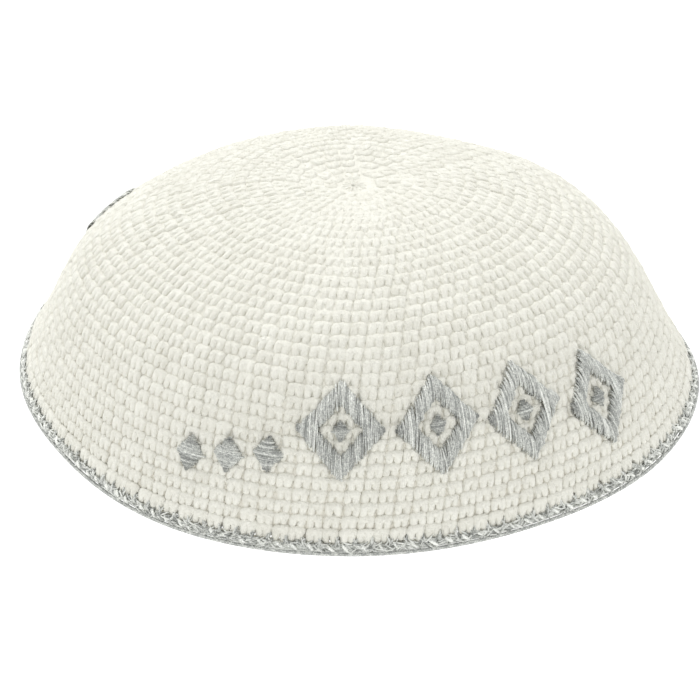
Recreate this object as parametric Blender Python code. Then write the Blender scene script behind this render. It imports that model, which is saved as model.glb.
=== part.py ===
"""A crocheted cotton skullcap with a silver thread edging and raised silver embroidery.

Metres, +Z up. The cap rests on its edging, with the origin on the surface under its middle.
A bearing is an angle about +Z, counted from +X. A way is a share of the cotton's own length
from the centre of the crown, at 0, to the end of the last crocheted round, at 1.
"""

import math
from collections import namedtuple

import bmesh
import bpy
from mathutils import Vector

# The cotton cap
ROUNDS = 34
ROUND_PITCH = 0.00283  # from one round of stitches to the next, along the cotton
LENGTH = ROUNDS * ROUND_PITCH  # from the crown's centre to the end of the last round
WALL = 0.0026
RIB_DEPTH = 0.0006  # how far the groove between two rounds lies below them
CROWN_HOLE_RADIUS = 0.0009  # the small eye that the first round is worked round

# The silver edging
EDGING_WIDTH = 0.0032
EDGING_HEIGHT = 0.0030
EDGING_CHAMFER = 0.0009
EDGING_FLARE = 0.0010  # how far its foot stands outside its top, as the cotton's slope does
SEAT_GAP = 0.0003

# The embroidery
SATIN_DEPTH = 0.0009
SATIN_LIFT = 0.0003  # clear space between the cotton and the stitches on it
SATIN_SHOULDER = 0.0006  # how far the rounded top edge of a figure is set in
LOZENGE_WIDTH = 0.0176
LOZENGE_HEIGHT = 0.0216
LOZENGE_BAND = 0.0034  # width of an open lozenge's stitched band
CORE_WIDTH = 0.0036
CORE_HEIGHT = 0.0046
DIAMOND_WIDTH = 0.0064
DIAMOND_HEIGHT = 0.0076
FIGURE_GAP = 0.0019  # cotton left bare between two figures of a row

# How finely the solids are cut
BEARINGS = 48
INNER_RINGS = 12
SIDE_CUTS = 4  # pieces that each side of a figure is cut into

# How steeply the dome falls, in degrees, at even ways; below nought it still rises
SLOPES_DEG = (-7, -5, 6, 18, 28, 43, 58, 62, 63)

# The soft cap isn't quite round: what rim and shoulder add to the reach, at even bearings from 0
Dent = namedtuple("Dent", "rim shoulder")
DENTS = (
    Dent(0.045, 0.025),
    Dent(0.005, 0.045),
    Dent(-0.010, -0.035),
    Dent(-0.005, -0.015),
    Dent(0.020, -0.020),
    Dent(0.065, -0.010),
    Dent(0.020, 0.050),
    Dent(-0.035, 0.000),
    Dent(-0.035, 0.005),
    Dent(-0.045, 0.045),
    Dent(-0.040, 0.000),
    Dent(0.010, -0.005),
)
RIM_POWER = 2.5  # how soon the rim's dents fade away up the cap

# The rows of figures: the bearing of the first one in degrees, then each shape in order of
# bearing with the way of its middle
Row = namedtuple("Row", "name start_deg figures")
Figure = namedtuple("Figure", "shape way")
ROWS = (
    Row(
        "front",
        241.0,
        (
            Figure("diamond", 0.853),
            Figure("diamond", 0.833),
            Figure("diamond", 0.815),
            Figure("lozenge", 0.750),
            Figure("lozenge", 0.754),
            Figure("lozenge", 0.772),
            Figure("lozenge", 0.815),
        ),
    ),
    Row(
        "back",
        106.5,
        (
            Figure("lozenge", 0.750),
            Figure("lozenge", 0.745),
            Figure("lozenge", 0.735),
            Figure("lozenge", 0.690),
        ),
    ),
)

# Colour, roughness and metallic value of each material
Finish = namedtuple("Finish", "colour roughness metallic")
COTTON = Finish((0.84, 0.82, 0.76, 1.0), 0.95, 0.0)
SILVER_THREAD = Finish((0.50, 0.52, 0.53, 1.0), 0.40, 0.8)

TINY_WAY = 1e-4
TINY_BEARING = math.radians(0.5)
UP = Vector((0.0, 0.0, 1.0))


def smooth(before, start, end, after, share):
    """The value a share of the way from start to end, on a curve through all four."""
    slope_in = (end - before) / 2
    slope_out = (after - start) / 2
    square, cube = share**2, share**3
    return (
        (2 * cube - 3 * square + 1) * start
        + (cube - 2 * square + share) * slope_in
        + (3 * square - 2 * cube) * end
        + (cube - square) * slope_out
    )


def along(values, way):
    """The value at any way from a list at even ways; it carries on straight past both ends."""
    last = len(values) - 1
    place = way * last
    i = min(max(int(place), 0), last - 1)
    before = values[i - 1] if i > 0 else 2 * values[0] - values[1]
    after = values[i + 2] if i + 2 <= last else 2 * values[last] - values[last - 1]
    return smooth(before, values[i], values[i + 1], after, place - i)


def around(values, bearing):
    """A column of the dent table at any bearing; it closes on itself."""
    count = len(values)
    place = bearing / math.tau % 1.0 * count
    i = int(place)
    four = [values[(i + step) % count] for step in (-1, 0, 1, 2)]
    return smooth(*four, place - i)


def section():
    """Reaches and heights of the mean section at even ways, found by going down its slopes."""
    steps = ROUNDS * 4
    reaches, drops = [0.0], [0.0]
    for i in range(steps):
        slope = math.radians(along(SLOPES_DEG, (i + 0.5) / steps))
        reaches.append(reaches[-1] + math.cos(slope) * LENGTH / steps)
        drops.append(drops[-1] + math.sin(slope) * LENGTH / steps)
    return reaches, [drops[-1] - drop for drop in drops]


REACHES, HEIGHTS = section()


def reach_at(way, bearing):
    """Distance of the cap's outer face from its axis."""
    rim = around([dent.rim for dent in DENTS], bearing)
    shoulder = around([dent.shoulder for dent in DENTS], bearing)
    swell = rim * max(way, 0.0) ** RIM_POWER + shoulder * math.sin(math.pi * way) ** 2
    return along(REACHES, way) * (1 + swell)


def on_dome(way, bearing):
    """Point of the cap's outer face."""
    reach = reach_at(way, bearing)
    height = EDGING_HEIGHT + SEAT_GAP + along(HEIGHTS, way)
    return Vector((reach * math.cos(bearing), reach * math.sin(bearing), height))


def outward(way, bearing):
    """Unit normal of the outer face."""
    down = on_dome(way + TINY_WAY, bearing) - on_dome(way - TINY_WAY, bearing)
    side = on_dome(way, bearing + TINY_BEARING) - on_dome(way, bearing - TINY_BEARING)
    return down.cross(side).normalized()


def middle():
    """Middle of the cap's outline seen from above, which goes on the origin."""
    edge = [on_dome(1.0, math.tau * i / (BEARINGS * 4)) for i in range(BEARINGS * 4)]
    low = [min(point[axis] for point in edge) for axis in (0, 1)]
    high = [max(point[axis] for point in edge) for axis in (0, 1)]
    return Vector(((low[0] + high[0]) / 2, (low[1] + high[1]) / 2, 0.0))


def loft(name, loops, closed):
    """Object whose skin joins each loop of points to the next, and the last to the first if closed."""
    form = bmesh.new()
    rings = [[form.verts.new(point) for point in loop] for loop in loops]
    pairs = list(zip(rings, rings[1:] + rings[:1] if closed else rings[1:]))
    for ring, following in pairs:
        if len(ring) == 1:
            join_fan(form, ring[0], following, False)
        elif len(following) == 1:
            join_fan(form, following[0], ring, True)
        else:
            join_rings(form, ring, following)
    bmesh.ops.recalc_face_normals(form, faces=form.faces)
    mesh = bpy.data.meshes.new(name)
    form.to_mesh(mesh)
    form.free()
    made = bpy.data.objects.new(name, mesh)
    bpy.context.scene.collection.objects.link(made)
    return made


def join_rings(form, ring, following):
    """Quads between two loops of as many points."""
    count = len(ring)
    for i in range(count):
        j = (i + 1) % count
        form.faces.new((ring[i], ring[j], following[j], following[i]))


def join_fan(form, tip, ring, tip_last):
    """Triangles between one point and a loop."""
    count = len(ring)
    for i in range(count):
        ends = (ring[i], ring[(i + 1) % count])
        form.faces.new((*ends, tip) if tip_last else (*reversed(ends), tip))


def crocheted_cap():
    """The cotton dome: ribbed by its rounds outside, smooth inside, open at the crown's eye."""
    bearings = [math.tau * i / BEARINGS for i in range(BEARINGS)]
    eye_way = CROWN_HOLE_RADIUS / LENGTH

    def outer(way, sunk):
        return [on_dome(way, b) - outward(way, b) * sunk for b in bearings]

    def inner(way):
        """Under the outer face by the wall, and level with its edge at the last round."""
        level = way**ROUNDS
        loop = []
        for b in bearings:
            normal = outward(way, b)
            flat = (normal - normal.dot(UP) * UP).normalized()
            across = flat / normal.dot(flat)
            loop.append(on_dome(way, b) - normal.lerp(across, level) * WALL)
        return loop

    loops = [outer(eye_way, RIB_DEPTH)]
    for k in range(ROUNDS):
        loops.append(outer((k + 0.5) / ROUNDS, 0.0))
        loops.append(outer((k + 1) / ROUNDS, RIB_DEPTH if k < ROUNDS - 1 else 0.0))
    for k in range(INNER_RINGS, 0, -1):
        loops.append(inner(k / INNER_RINGS))
    loops.append(inner(eye_way))
    return loft("crocheted_cap", loops, closed=True)


def silver_edging():
    """The edging round the rim: an eight-sided section, flat on the surface it rests on."""
    half = EDGING_WIDTH / 2
    top = EDGING_HEIGHT
    cut = EDGING_CHAMFER
    corners = (
        (-half + cut, 0.0),
        (half - cut, 0.0),
        (half, cut),
        (half, top - cut),
        (half - cut, top),
        (-half + cut, top),
        (-half, top - cut),
        (-half, cut),
    )
    loops = []
    for across, up in corners:
        loop = []
        for i in range(BEARINGS):
            b = math.tau * i / BEARINGS
            lean = EDGING_FLARE * (1 - up / top)
            reach = reach_at(1.0, b) - WALL / 2 + across + lean
            loop.append(Vector((reach * math.cos(b), reach * math.sin(b), up)))
        loops.append(loop)
    return loft("silver_edging", loops, closed=True)


def lozenge_outline(width, height, inset):
    """Points of a lozenge standing on its tip, set in from its full size on every side."""
    side = math.hypot(width, height)
    shrink = 1 - 2 * inset * side / (width * height)
    tips = [(width / 2, 0.0), (0.0, height / 2), (-width / 2, 0.0), (0.0, -height / 2)]
    points = []
    for (x0, y0), (x1, y1) in zip(tips, tips[1:] + tips[:1]):
        for step in range(SIDE_CUTS):
            share = step / SIDE_CUTS
            points.append(((x0 + (x1 - x0) * share) * shrink, (y0 + (y1 - y0) * share) * shrink))
    return points


def on_cotton(points, way, bearing, lift):
    """Flat points laid on the dome round a place, x along the rounds and y towards the rim."""
    loop = []
    for x, y in points:
        at = way + y / LENGTH
        turned = bearing + x / reach_at(at, bearing)
        loop.append(on_dome(at, turned) + outward(at, turned) * lift)
    return loop


def solid_lozenge(name, width, height, way, bearing):
    """A figure stitched all over, highest in the middle."""
    full = lozenge_outline(width, height, 0.0)
    set_in = lozenge_outline(width, height, min(SATIN_SHOULDER, width / 8))
    centre = [(0.0, 0.0)]
    low, high = SATIN_LIFT, SATIN_LIFT + SATIN_DEPTH
    loops = [
        on_cotton(centre, way, bearing, low),
        on_cotton(full, way, bearing, low),
        on_cotton(full, way, bearing, (low + high) / 2),
        on_cotton(set_in, way, bearing, high),
        on_cotton(centre, way, bearing, high),
    ]
    return loft(name, loops, closed=False)


def open_lozenge(name, way, bearing):
    """A figure stitched as a band round an open middle, where the cotton shows."""
    low, high = SATIN_LIFT, SATIN_LIFT + SATIN_DEPTH
    half_up = (low + high) / 2
    steps = (
        (0.0, low),
        (0.0, half_up),
        (LOZENGE_BAND / 2, high),
        (LOZENGE_BAND, half_up),
        (LOZENGE_BAND, low),
    )
    loops = [
        on_cotton(lozenge_outline(LOZENGE_WIDTH, LOZENGE_HEIGHT, inset), way, bearing, lift)
        for inset, lift in steps
    ]
    return loft(name, loops, closed=True)


def row_of_figures(row):
    """The embroidered figures of one row, side by side along the rounds."""
    made = []
    counts = {"diamond": 0, "lozenge": 0}
    widths = {"diamond": DIAMOND_WIDTH, "lozenge": LOZENGE_WIDTH}
    bearing = math.radians(row.start_deg)
    before = row.figures[0]
    for figure in row.figures:
        if figure is not before:
            pitch = (widths[before.shape] + widths[figure.shape]) / 2 + FIGURE_GAP
            bearing += pitch / reach_at(figure.way, bearing)
        counts[figure.shape] += 1
        number = counts[figure.shape]
        if figure.shape == "diamond":
            name = f"{row.name}_diamond_{number}"
            made.append(solid_lozenge(name, DIAMOND_WIDTH, DIAMOND_HEIGHT, figure.way, bearing))
        else:
            made.append(open_lozenge(f"{row.name}_lozenge_{number}", figure.way, bearing))
            core = f"{row.name}_core_{number}"
            made.append(solid_lozenge(core, CORE_WIDTH, CORE_HEIGHT, figure.way, bearing))
        before = figure
    return made


def make_material(name, finish):
    """Principled material of one finish."""
    material = bpy.data.materials.new(name)
    material.use_nodes = True
    shader = material.node_tree.nodes["Principled BSDF"]
    shader.inputs["Base Color"].default_value = finish.colour
    shader.inputs["Roughness"].default_value = finish.roughness
    shader.inputs["Metallic"].default_value = finish.metallic
    return material


def main():
    for old in list(bpy.data.objects):
        bpy.data.objects.remove(old)
    cotton = make_material("white_cotton", COTTON)
    silver = make_material("silver_thread", SILVER_THREAD)
    holder = bpy.data.objects.new("cap_middle", None)
    holder.location = -middle()
    bpy.context.scene.collection.objects.link(holder)
    cap = crocheted_cap()
    trimmings = [silver_edging()]
    for row in ROWS:
        trimmings += row_of_figures(row)
    for piece in [cap, *trimmings]:
        piece.parent = holder
        piece.data.materials.append(cotton if piece is cap else silver)
        piece.data.shade_smooth()
        piece.data.set_sharp_from_angle(angle=math.radians(40))


main()
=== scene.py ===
"""Looks of a crocheted white cotton skullcap with silver edging and silver satin stitching.

Every piece is worked flat and then laid over the dome, as the real cap grows from its crown:
a flat point has a distance from the crown's centre, a bearing about the cap's axis and a lift
above the cotton's outer face. Lengths are in metres and bearings in radians, counted from +X.
"""

from __future__ import annotations

import logging
import math
from collections.abc import Iterator, Sequence
from dataclasses import dataclass, field, replace
from enum import Enum
from functools import cached_property
from typing import Any

import bpy
import numpy as np
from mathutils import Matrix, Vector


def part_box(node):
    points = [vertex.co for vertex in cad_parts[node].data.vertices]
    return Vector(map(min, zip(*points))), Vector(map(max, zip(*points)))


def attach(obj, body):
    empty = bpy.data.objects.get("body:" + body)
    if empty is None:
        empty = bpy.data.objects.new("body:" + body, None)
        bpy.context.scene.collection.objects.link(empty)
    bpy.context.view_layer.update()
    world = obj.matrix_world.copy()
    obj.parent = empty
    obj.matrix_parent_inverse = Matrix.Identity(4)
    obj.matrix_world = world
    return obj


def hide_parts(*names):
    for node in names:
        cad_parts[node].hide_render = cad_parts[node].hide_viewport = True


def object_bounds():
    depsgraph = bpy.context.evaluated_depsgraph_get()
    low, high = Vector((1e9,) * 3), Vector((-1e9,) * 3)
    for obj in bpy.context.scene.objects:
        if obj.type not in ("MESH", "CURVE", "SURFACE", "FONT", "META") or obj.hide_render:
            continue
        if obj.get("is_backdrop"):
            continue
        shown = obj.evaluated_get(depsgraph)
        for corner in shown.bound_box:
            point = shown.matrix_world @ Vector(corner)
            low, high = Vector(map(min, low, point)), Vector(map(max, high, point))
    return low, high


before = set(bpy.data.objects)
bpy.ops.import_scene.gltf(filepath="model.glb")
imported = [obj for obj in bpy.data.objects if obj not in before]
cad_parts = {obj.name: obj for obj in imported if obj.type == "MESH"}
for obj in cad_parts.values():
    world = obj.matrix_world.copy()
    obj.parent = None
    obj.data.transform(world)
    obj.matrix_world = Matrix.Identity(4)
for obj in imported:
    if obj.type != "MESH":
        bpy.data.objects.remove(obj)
CAD_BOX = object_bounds()

LOG = logging.getLogger("skullcap")
MM = 0.001
FRONT = math.radians(270.0)
BACK = math.radians(90.0)
ORIGIN = (0.0, 0.0, 0.0)
LYING = (0.0, math.pi / 2, 0.0)  # turns a ring to face along x
STANDING = (math.pi / 2, 0.0, 0.0)  # turns a ring to face along y
MELT = 1e-7  # points closer than this are one
WHITE = (1.0, 1.0, 1.0, 1.0)
MIDDLE_TONE = 0.5
COLOUR_A, COLOUR_B = 6, 7  # the two colour sockets of a Mix node, which go by number
Vec = tuple[float, float, float]
Colour = tuple[float, float, float, float]
Array = np.ndarray


@dataclass(frozen=True)
class Dent:
    """What the rim and the shoulder add to the dome's reach at one bearing."""

    rim: float
    shoulder: float


@dataclass(frozen=True)
class Dome:
    """The soft cotton dome that every piece is laid on, the same one that the solids follow."""

    slopes_deg: tuple[float, ...] = (-7, -5, 6, 18, 28, 43, 58, 62, 63)
    dents: tuple[Dent, ...] = (
        Dent(0.045, 0.025),
        Dent(0.005, 0.045),
        Dent(-0.010, -0.035),
        Dent(-0.005, -0.015),
        Dent(0.020, -0.020),
        Dent(0.065, -0.010),
        Dent(0.020, 0.050),
        Dent(-0.035, 0.000),
        Dent(-0.035, 0.005),
        Dent(-0.045, 0.045),
        Dent(-0.040, 0.000),
        Dent(0.010, -0.005),
    )
    rim_power: float = 2.5
    cuts: int = 136
    feel: float = 1e-5
    feel_turn: float = 1e-3
    length: float = 1.0
    foot: float = 0.0
    middle: tuple[float, float] = (0.0, 0.0)

    @staticmethod
    def curve(before: Array, start: Array, end: Array, after: Array, share: Array) -> Array:
        """Read a smooth curve through four values.

        Args:
            before: the value ahead of the stretch.
            start: the value where the stretch starts.
            end: the value where it ends.
            after: the value past it.
            share: how far along the stretch to read.

        Returns:
            The values there.
        """
        square, cube = share**2, share**3
        return (
            (2 * cube - 3 * square + 1) * start
            + (cube - 2 * square + share) * (end - before) / 2
            + (3 * square - 2 * cube) * end
            + (cube - square) * (after - start) / 2
        )

    def along(self, values: Array, way: Array) -> Array:
        """Read values at even ways at any way; they run on straight past both ends.

        Args:
            values: the values, from the crown to the rim.
            way: the ways to read at.

        Returns:
            One value for each way.
        """
        last = len(values) - 1
        longer = np.concatenate(
            ([2 * values[0] - values[1]], values, [2 * values[-1] - values[-2]])
        )
        place = np.asarray(way) * last
        i = np.clip(np.floor(place).astype(int), 0, last - 1)
        return self.curve(longer[i], longer[i + 1], longer[i + 2], longer[i + 3], place - i)

    @cached_property
    def profile(self) -> tuple[Array, Array]:
        """Find the mean section by going down its slopes.

        Returns:
            Its reaches and its heights, at even ways.
        """
        way = (np.arange(self.cuts) + 0.5) / self.cuts
        slope = np.radians(self.along(np.array(self.slopes_deg, dtype=float), way))
        step = self.length / self.cuts
        reaches = np.concatenate(([0.0], np.cumsum(np.cos(slope)))) * step
        drops = np.concatenate(([0.0], np.cumsum(np.sin(slope)))) * step
        return reaches, drops[-1] - drops

    def around(self, column: str, bearing: Array) -> Array:
        """Read one column of the dents at any bearing; it closes on itself.

        Args:
            column: rim or shoulder.
            bearing: the bearings to read at.

        Returns:
            One share of the reach for each bearing.
        """
        values = np.array([getattr(dent, column) for dent in self.dents])
        count = len(values)
        place = np.asarray(bearing) / math.tau % 1.0 * count
        i = np.floor(place).astype(int)
        four = [values[(i + step) % count] for step in (-1, 0, 1, 2)]
        return self.curve(*four, place - i)

    def reach(self, distance: Array, bearing: Array) -> Array:
        """How far the outer face stands from the axis.

        Args:
            distance: distance from the crown's centre, along the cotton.
            bearing: bearing of each point.

        Returns:
            The reach of each point.
        """
        way = np.asarray(distance) / self.length
        swell = self.around("rim", bearing) * np.maximum(way, 0.0) ** self.rim_power
        swell = swell + self.around("shoulder", bearing) * np.sin(math.pi * way) ** 2
        return self.along(self.profile[0], way) * (1 + swell)

    def face(self, distance: Array, bearing: Array) -> Array:
        """Points of the outer face.

        Args:
            distance: distance from the crown's centre, along the cotton.
            bearing: bearing of each point.

        Returns:
            The points, one row each.
        """
        reach = self.reach(distance, bearing)
        height = self.along(self.profile[1], np.asarray(distance) / self.length)
        return np.stack(
            (
                reach * np.cos(bearing) - self.middle[0],
                reach * np.sin(bearing) - self.middle[1],
                self.foot + height,
            ),
            axis=-1,
        )

    def lay(self, distance: Array, bearing: Array, lift: Array) -> Array:
        """Take flat points to their places on the dome.

        Args:
            distance: distance of each point from the crown's centre, along the cotton.
            bearing: bearing of each point.
            lift: how far each point stands outside the cotton's outer face.

        Returns:
            The points in the frame, one row each.
        """
        step, turn = self.feel, self.feel_turn
        here = self.face(distance, bearing)
        down = self.face(distance + step, bearing) - self.face(distance - step, bearing)
        side = self.face(distance, bearing + turn) - self.face(distance, bearing - turn)
        normal = np.cross(down, side)
        normal /= np.linalg.norm(normal, axis=-1, keepdims=True)
        return here + normal * np.asarray(lift)[..., None]


def dome_of_frame(looks: int = 721) -> Dome:
    """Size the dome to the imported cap.

    Args:
        looks: number of bearings at which its rim is measured.

    Returns:
        The dome in the frame's own lengths.
    """
    low, high = (np.array(corner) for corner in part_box("crocheted_cap"))
    shape = Dome()
    bearings = np.linspace(0.0, math.tau, looks)
    edge = shape.face(np.ones_like(bearings), bearings)
    span = edge.max(axis=0) - edge.min(axis=0)
    length = float((high - low)[0] / span[0])
    middle = (edge.max(axis=0) + edge.min(axis=0)) / 2 * length
    return Dome(length=length, foot=float(low[2]), middle=(float(middle[0]), float(middle[1])))


class Bench:
    """Hand work with Blender's operators on one new mesh at a time."""

    @staticmethod
    def start() -> None:
        """Leave nothing selected, so that an operator takes only the new mesh."""
        bpy.ops.object.select_all(action="DESELECT")
        bpy.context.view_layer.objects.active = None

    @staticmethod
    def ring(sides: int, radius: float, place: Vec, turn: Vec) -> None:
        """Add a ring of points and begin to edit it, all of it selected.

        Args:
            sides: number of points.
            radius: radius of the ring.
            place: its centre.
            turn: how it is turned.
        """
        Bench.start()
        bpy.ops.mesh.primitive_circle_add(
            vertices=sides, radius=radius, location=place, rotation=turn
        )
        bpy.ops.object.transform_apply(location=True, rotation=True, scale=True)
        bpy.ops.object.mode_set(mode="EDIT")
        bpy.ops.mesh.select_all(action="SELECT")

    @staticmethod
    def pull(step: Vec, scale: float, centre: Vec) -> None:
        """Extrude the selected ring by a step, then scale it.

        Args:
            step: how far it is pulled.
            scale: its new size as a share of the old.
            centre: the point it is scaled about.
        """
        bpy.ops.mesh.extrude_edges_move(TRANSFORM_OT_translate={"value": step})
        if scale != 1.0:
            bpy.ops.transform.resize(value=(scale, scale, scale), center_override=centre)

    @staticmethod
    def turn(steps: int) -> None:
        """Spin what is selected once round the cap's upright axis."""
        bpy.ops.mesh.spin(steps=steps, angle=math.tau, center=ORIGIN, axis=(0.0, 0.0, 1.0))

    @staticmethod
    def hoop(sides: int, radius: float, place: Vec, steps: int) -> bpy.types.Object:
        """Make a round bar about the cap's axis.

        Args:
            sides: number of sides of the bar.
            radius: its radius.
            place: the middle of its section.
            steps: number of steps round the axis.

        Returns:
            The bar.
        """
        Bench.ring(sides, radius, place, STANDING)
        Bench.turn(steps)
        return Bench.stop()

    @staticmethod
    def close_ends() -> None:
        """Fill every open ring of the mesh with a face."""
        bpy.ops.mesh.select_all(action="DESELECT")
        bpy.ops.mesh.select_mode(type="EDGE")
        bpy.ops.mesh.select_non_manifold()
        bpy.ops.mesh.edge_face_add()

    @staticmethod
    def stop() -> bpy.types.Object:
        """End the edit with all faces pointing outwards.

        Returns:
            The object just made.
        """
        bpy.ops.mesh.select_all(action="SELECT")
        bpy.ops.mesh.remove_doubles(threshold=MELT)
        bpy.ops.mesh.normals_make_consistent(inside=False)
        bpy.ops.object.mode_set(mode="OBJECT")
        return bpy.context.view_layer.objects.active


@dataclass
class Pattern:
    """A small shape worked once: x along the rounds, y away from the crown, z outwards.

    Its faces are kept as corners, with the number of each face's first corner in starts.
    """

    points: Array
    corners: Array
    starts: Array
    strands: Array

    @classmethod
    def taken_from(cls, made: bpy.types.Object, round_and_along: Array | None = None) -> Pattern:
        """Read a bench object's mesh and clear the object away.

        Args:
            made: the object from the bench.
            round_and_along: for each point, its place round the strand in turns and along it.

        Returns:
            The shape as arrays, with a strand coordinate for each corner of each face.
        """
        mesh = made.data
        points = np.empty(len(mesh.vertices) * 3)
        mesh.vertices.foreach_get("co", points)
        corners = np.empty(len(mesh.loops), dtype=np.int64)
        mesh.loops.foreach_get("vertex_index", corners)
        starts = np.empty(len(mesh.polygons), dtype=np.int64)
        mesh.polygons.foreach_get("loop_start", starts)
        if round_and_along is None:
            round_and_along = np.zeros((len(mesh.vertices), 2))
        strands = round_and_along[corners]
        for first, last in zip(starts, [*starts[1:], len(corners)]):
            turn = strands[first:last, 0]
            if turn.max() - turn.min() > 0.5:
                turn[turn < 0.5] += 1.0
        bpy.data.objects.remove(made)
        bpy.data.meshes.remove(mesh)
        return cls(points.reshape(-1, 3), corners, starts, strands)

    def upright(self) -> Pattern:
        """Change x and y over, with the faces turned so that they still point outwards.

        Returns:
            The changed copy.
        """
        corners, strands = self.corners.copy(), self.strands.copy()
        for first, last in zip(self.starts, [*self.starts[1:], len(corners)]):
            corners[first:last] = corners[first:last][::-1]
            strands[first:last] = strands[first:last][::-1]
        return Pattern(self.points[:, [1, 0, 2]], corners, self.starts, strands)

    def turned(self, angle: float) -> Pattern:
        """Turn the pattern about z.

        Args:
            angle: how far, in radians.

        Returns:
            The turned copy.
        """
        x, y, z = self.points.T
        cosine, sine = math.cos(angle), math.sin(angle)
        points = np.stack((x * cosine - y * sine, x * sine + y * cosine, z), axis=-1)
        return replace(self, points=points)

    def flattened(self, share: float) -> Pattern:
        """Copy of the pattern, flattened to a share of its height."""
        return replace(self, points=self.points * (1.0, 1.0, share))


@dataclass(frozen=True)
class Spread:
    """How far copies stray from their usual measures, as hand work does."""

    wide: float = 0.0
    tall: float = 0.0
    lift: float = 0.0
    lean: float = 0.0
    tone: float = 0.0
    tones: tuple[float, float] = (0.0, 1.0)
    slide: float = 50.0


@dataclass
class Spots:
    """Where the copies of a pattern go, one value each in every field.

    Turn is the bearing that a metre across the copy takes up, lean how far its foot slants,
    tone how light it is, and slide where along the strand its texture starts.
    """

    distance: Array
    bearing: Array
    turn: Array
    wide: Array
    tall: Array
    thick: Array
    lift: Array
    lean: Array
    tone: Array
    slide: Array

    @classmethod
    def even(cls, distance: Array, bearing: Array, turn: Array, tone: float) -> Spots:
        """Make spots at full size, unslanted, in one tone.

        Args:
            distance: distance of each from the crown's centre.
            bearing: bearing of each.
            turn: bearing that a metre across each takes up.
            tone: how light they all are.

        Returns:
            The spots.
        """
        n = len(distance)
        one, none = np.ones(n), np.zeros(n)
        return cls(distance, bearing, turn, one, one, one, none, none, one * tone, none)

    def __len__(self) -> int:
        """Number of copies."""
        return len(self.distance)

    def some(self, chosen: Array) -> Spots:
        """Only the chosen spots."""
        return Spots(**{name: getattr(self, name)[chosen] for name in self.__dataclass_fields__})

    def loosened(self, spread: Spread, chance: np.random.Generator) -> Spots:
        """Give the spots the unevenness of hand work.

        Args:
            spread: how far each measure strays; one without a spread stays as it is.
            chance: where the unevenness comes from.

        Returns:
            The uneven spots.
        """
        n = len(self)

        def stray(width: float) -> Array | float:
            """How far each spot strays in one measure."""
            return chance.normal(0.0, width, n) if width else 0.0

        return replace(
            self,
            wide=self.wide * (1 + stray(spread.wide)),
            tall=self.tall * (1 + stray(spread.tall)),
            lift=self.lift + stray(spread.lift),
            lean=self.lean + stray(spread.lean),
            tone=np.clip(self.tone + stray(spread.tone), *spread.tones),
            slide=self.slide + (chance.uniform(0.0, spread.slide, n) if spread.slide else 0.0),
        )


@dataclass
class Cloth:
    """A mesh that gathers copies of patterns laid over the dome."""

    dome: Dome
    nearest: float = 0.03 * MM
    # painted shade: how strongly depth darkens the cotton at the crown, and how much more it
    # darkens at the rim
    crown_shade_weight: float = 0.3
    more_at_rim: float = 0.9
    gathered: dict[str, list[Array]] = field(default_factory=dict)
    points_so_far: int = 0
    corners_so_far: int = 0

    def lay(self, pattern: Pattern, spots: Spots) -> None:
        """Add a copy of the pattern at each spot.

        Args:
            pattern: the flat shape.
            spots: the places, sizes and tones of its copies.
        """
        flat = pattern.points
        x, y, z = (flat[None, :, axis] for axis in range(3))
        down = y * spots.tall[:, None]
        across = x * spots.wide[:, None] + down * spots.lean[:, None]
        lift = z * spots.thick[:, None] + spots.lift[:, None]
        distance = np.maximum(spots.distance[:, None] + down, self.nearest)
        bearing = spots.bearing[:, None] + across * spots.turn[:, None]
        laid = self.dome.lay(distance.ravel(), bearing.ravel(), lift.ravel())
        self.add(pattern, laid, self.depth(distance, lift), spots.tone, spots.slide)

    def lay_round(self, pattern: Pattern, tone: float) -> None:
        """Add a pattern that was turned about the crown's axis, as a disc lies.

        Args:
            pattern: the flat disc or ring.
            tone: how light it is.
        """
        x, y, lift = pattern.points.T
        distance = np.hypot(x, y)
        laid = self.dome.lay(distance, np.arctan2(y, x), lift)
        self.add(pattern, laid, self.depth(distance, lift), np.array([tone]), np.zeros(1))

    def depth(self, distance: Array, lift: Array) -> Array:
        """How deep points lie, weighted for the cotton's painted shade, which is kept weaker at
        the crown than towards the rim.
        """
        return -lift * (self.crown_shade_weight + self.more_at_rim * distance / self.dome.length)

    def add(self, pattern: Pattern, laid: Array, depth: Array, tone: Array, slide: Array) -> None:
        """Take in laid copies of a pattern.

        Args:
            pattern: the shape that was copied.
            laid: the points of all the copies.
            depth: the depth of each of them.
            tone: light or dark, one value for each copy.
            slide: how far along the strand each copy's texture starts.
        """
        copies, each = len(tone), len(pattern.points)
        step = np.arange(copies)[:, None]
        strands = np.tile(pattern.strands, (copies, 1, 1))
        strands[:, :, 1] += slide[:, None]
        more = {
            "points": laid,
            "corners": pattern.corners + step * each + self.points_so_far,
            "starts": pattern.starts + step * len(pattern.corners) + self.corners_so_far,
            "strands": strands,
            "tone": np.repeat(tone, each),
            "depth": depth,
        }
        for name, values in more.items():
            self.gathered.setdefault(name, []).append(values.ravel())
        self.points_so_far += copies * each
        self.corners_so_far += copies * len(pattern.corners)

    def cut(self, name: str, material: bpy.types.Material) -> bpy.types.Object:
        """Make the piece of all that was laid.

        Args:
            name: the piece's name.
            material: its finish.

        Returns:
            The piece, in place, shaded smooth.
        """
        whole = {title: np.concatenate(values) for title, values in self.gathered.items()}
        mesh = bpy.data.meshes.new(name)
        mesh.vertices.add(self.points_so_far)
        mesh.loops.add(self.corners_so_far)
        mesh.polygons.add(len(whole["starts"]))
        mesh.vertices.foreach_set("co", whole["points"])
        mesh.loops.foreach_set("vertex_index", whole["corners"])
        mesh.polygons.foreach_set("loop_start", whole["starts"])
        mesh.update(calc_edges=True)
        mesh.uv_layers.new(name="strand").uv.foreach_set("vector", whole["strands"])
        for title in ("tone", "depth"):
            mesh.attributes.new(title, "FLOAT", "POINT").data.foreach_set("value", whole[title])
        mesh.shade_smooth()
        mesh.materials.append(material)
        piece = bpy.data.objects.new(name, mesh)
        bpy.context.scene.collection.objects.link(piece)
        return piece


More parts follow.
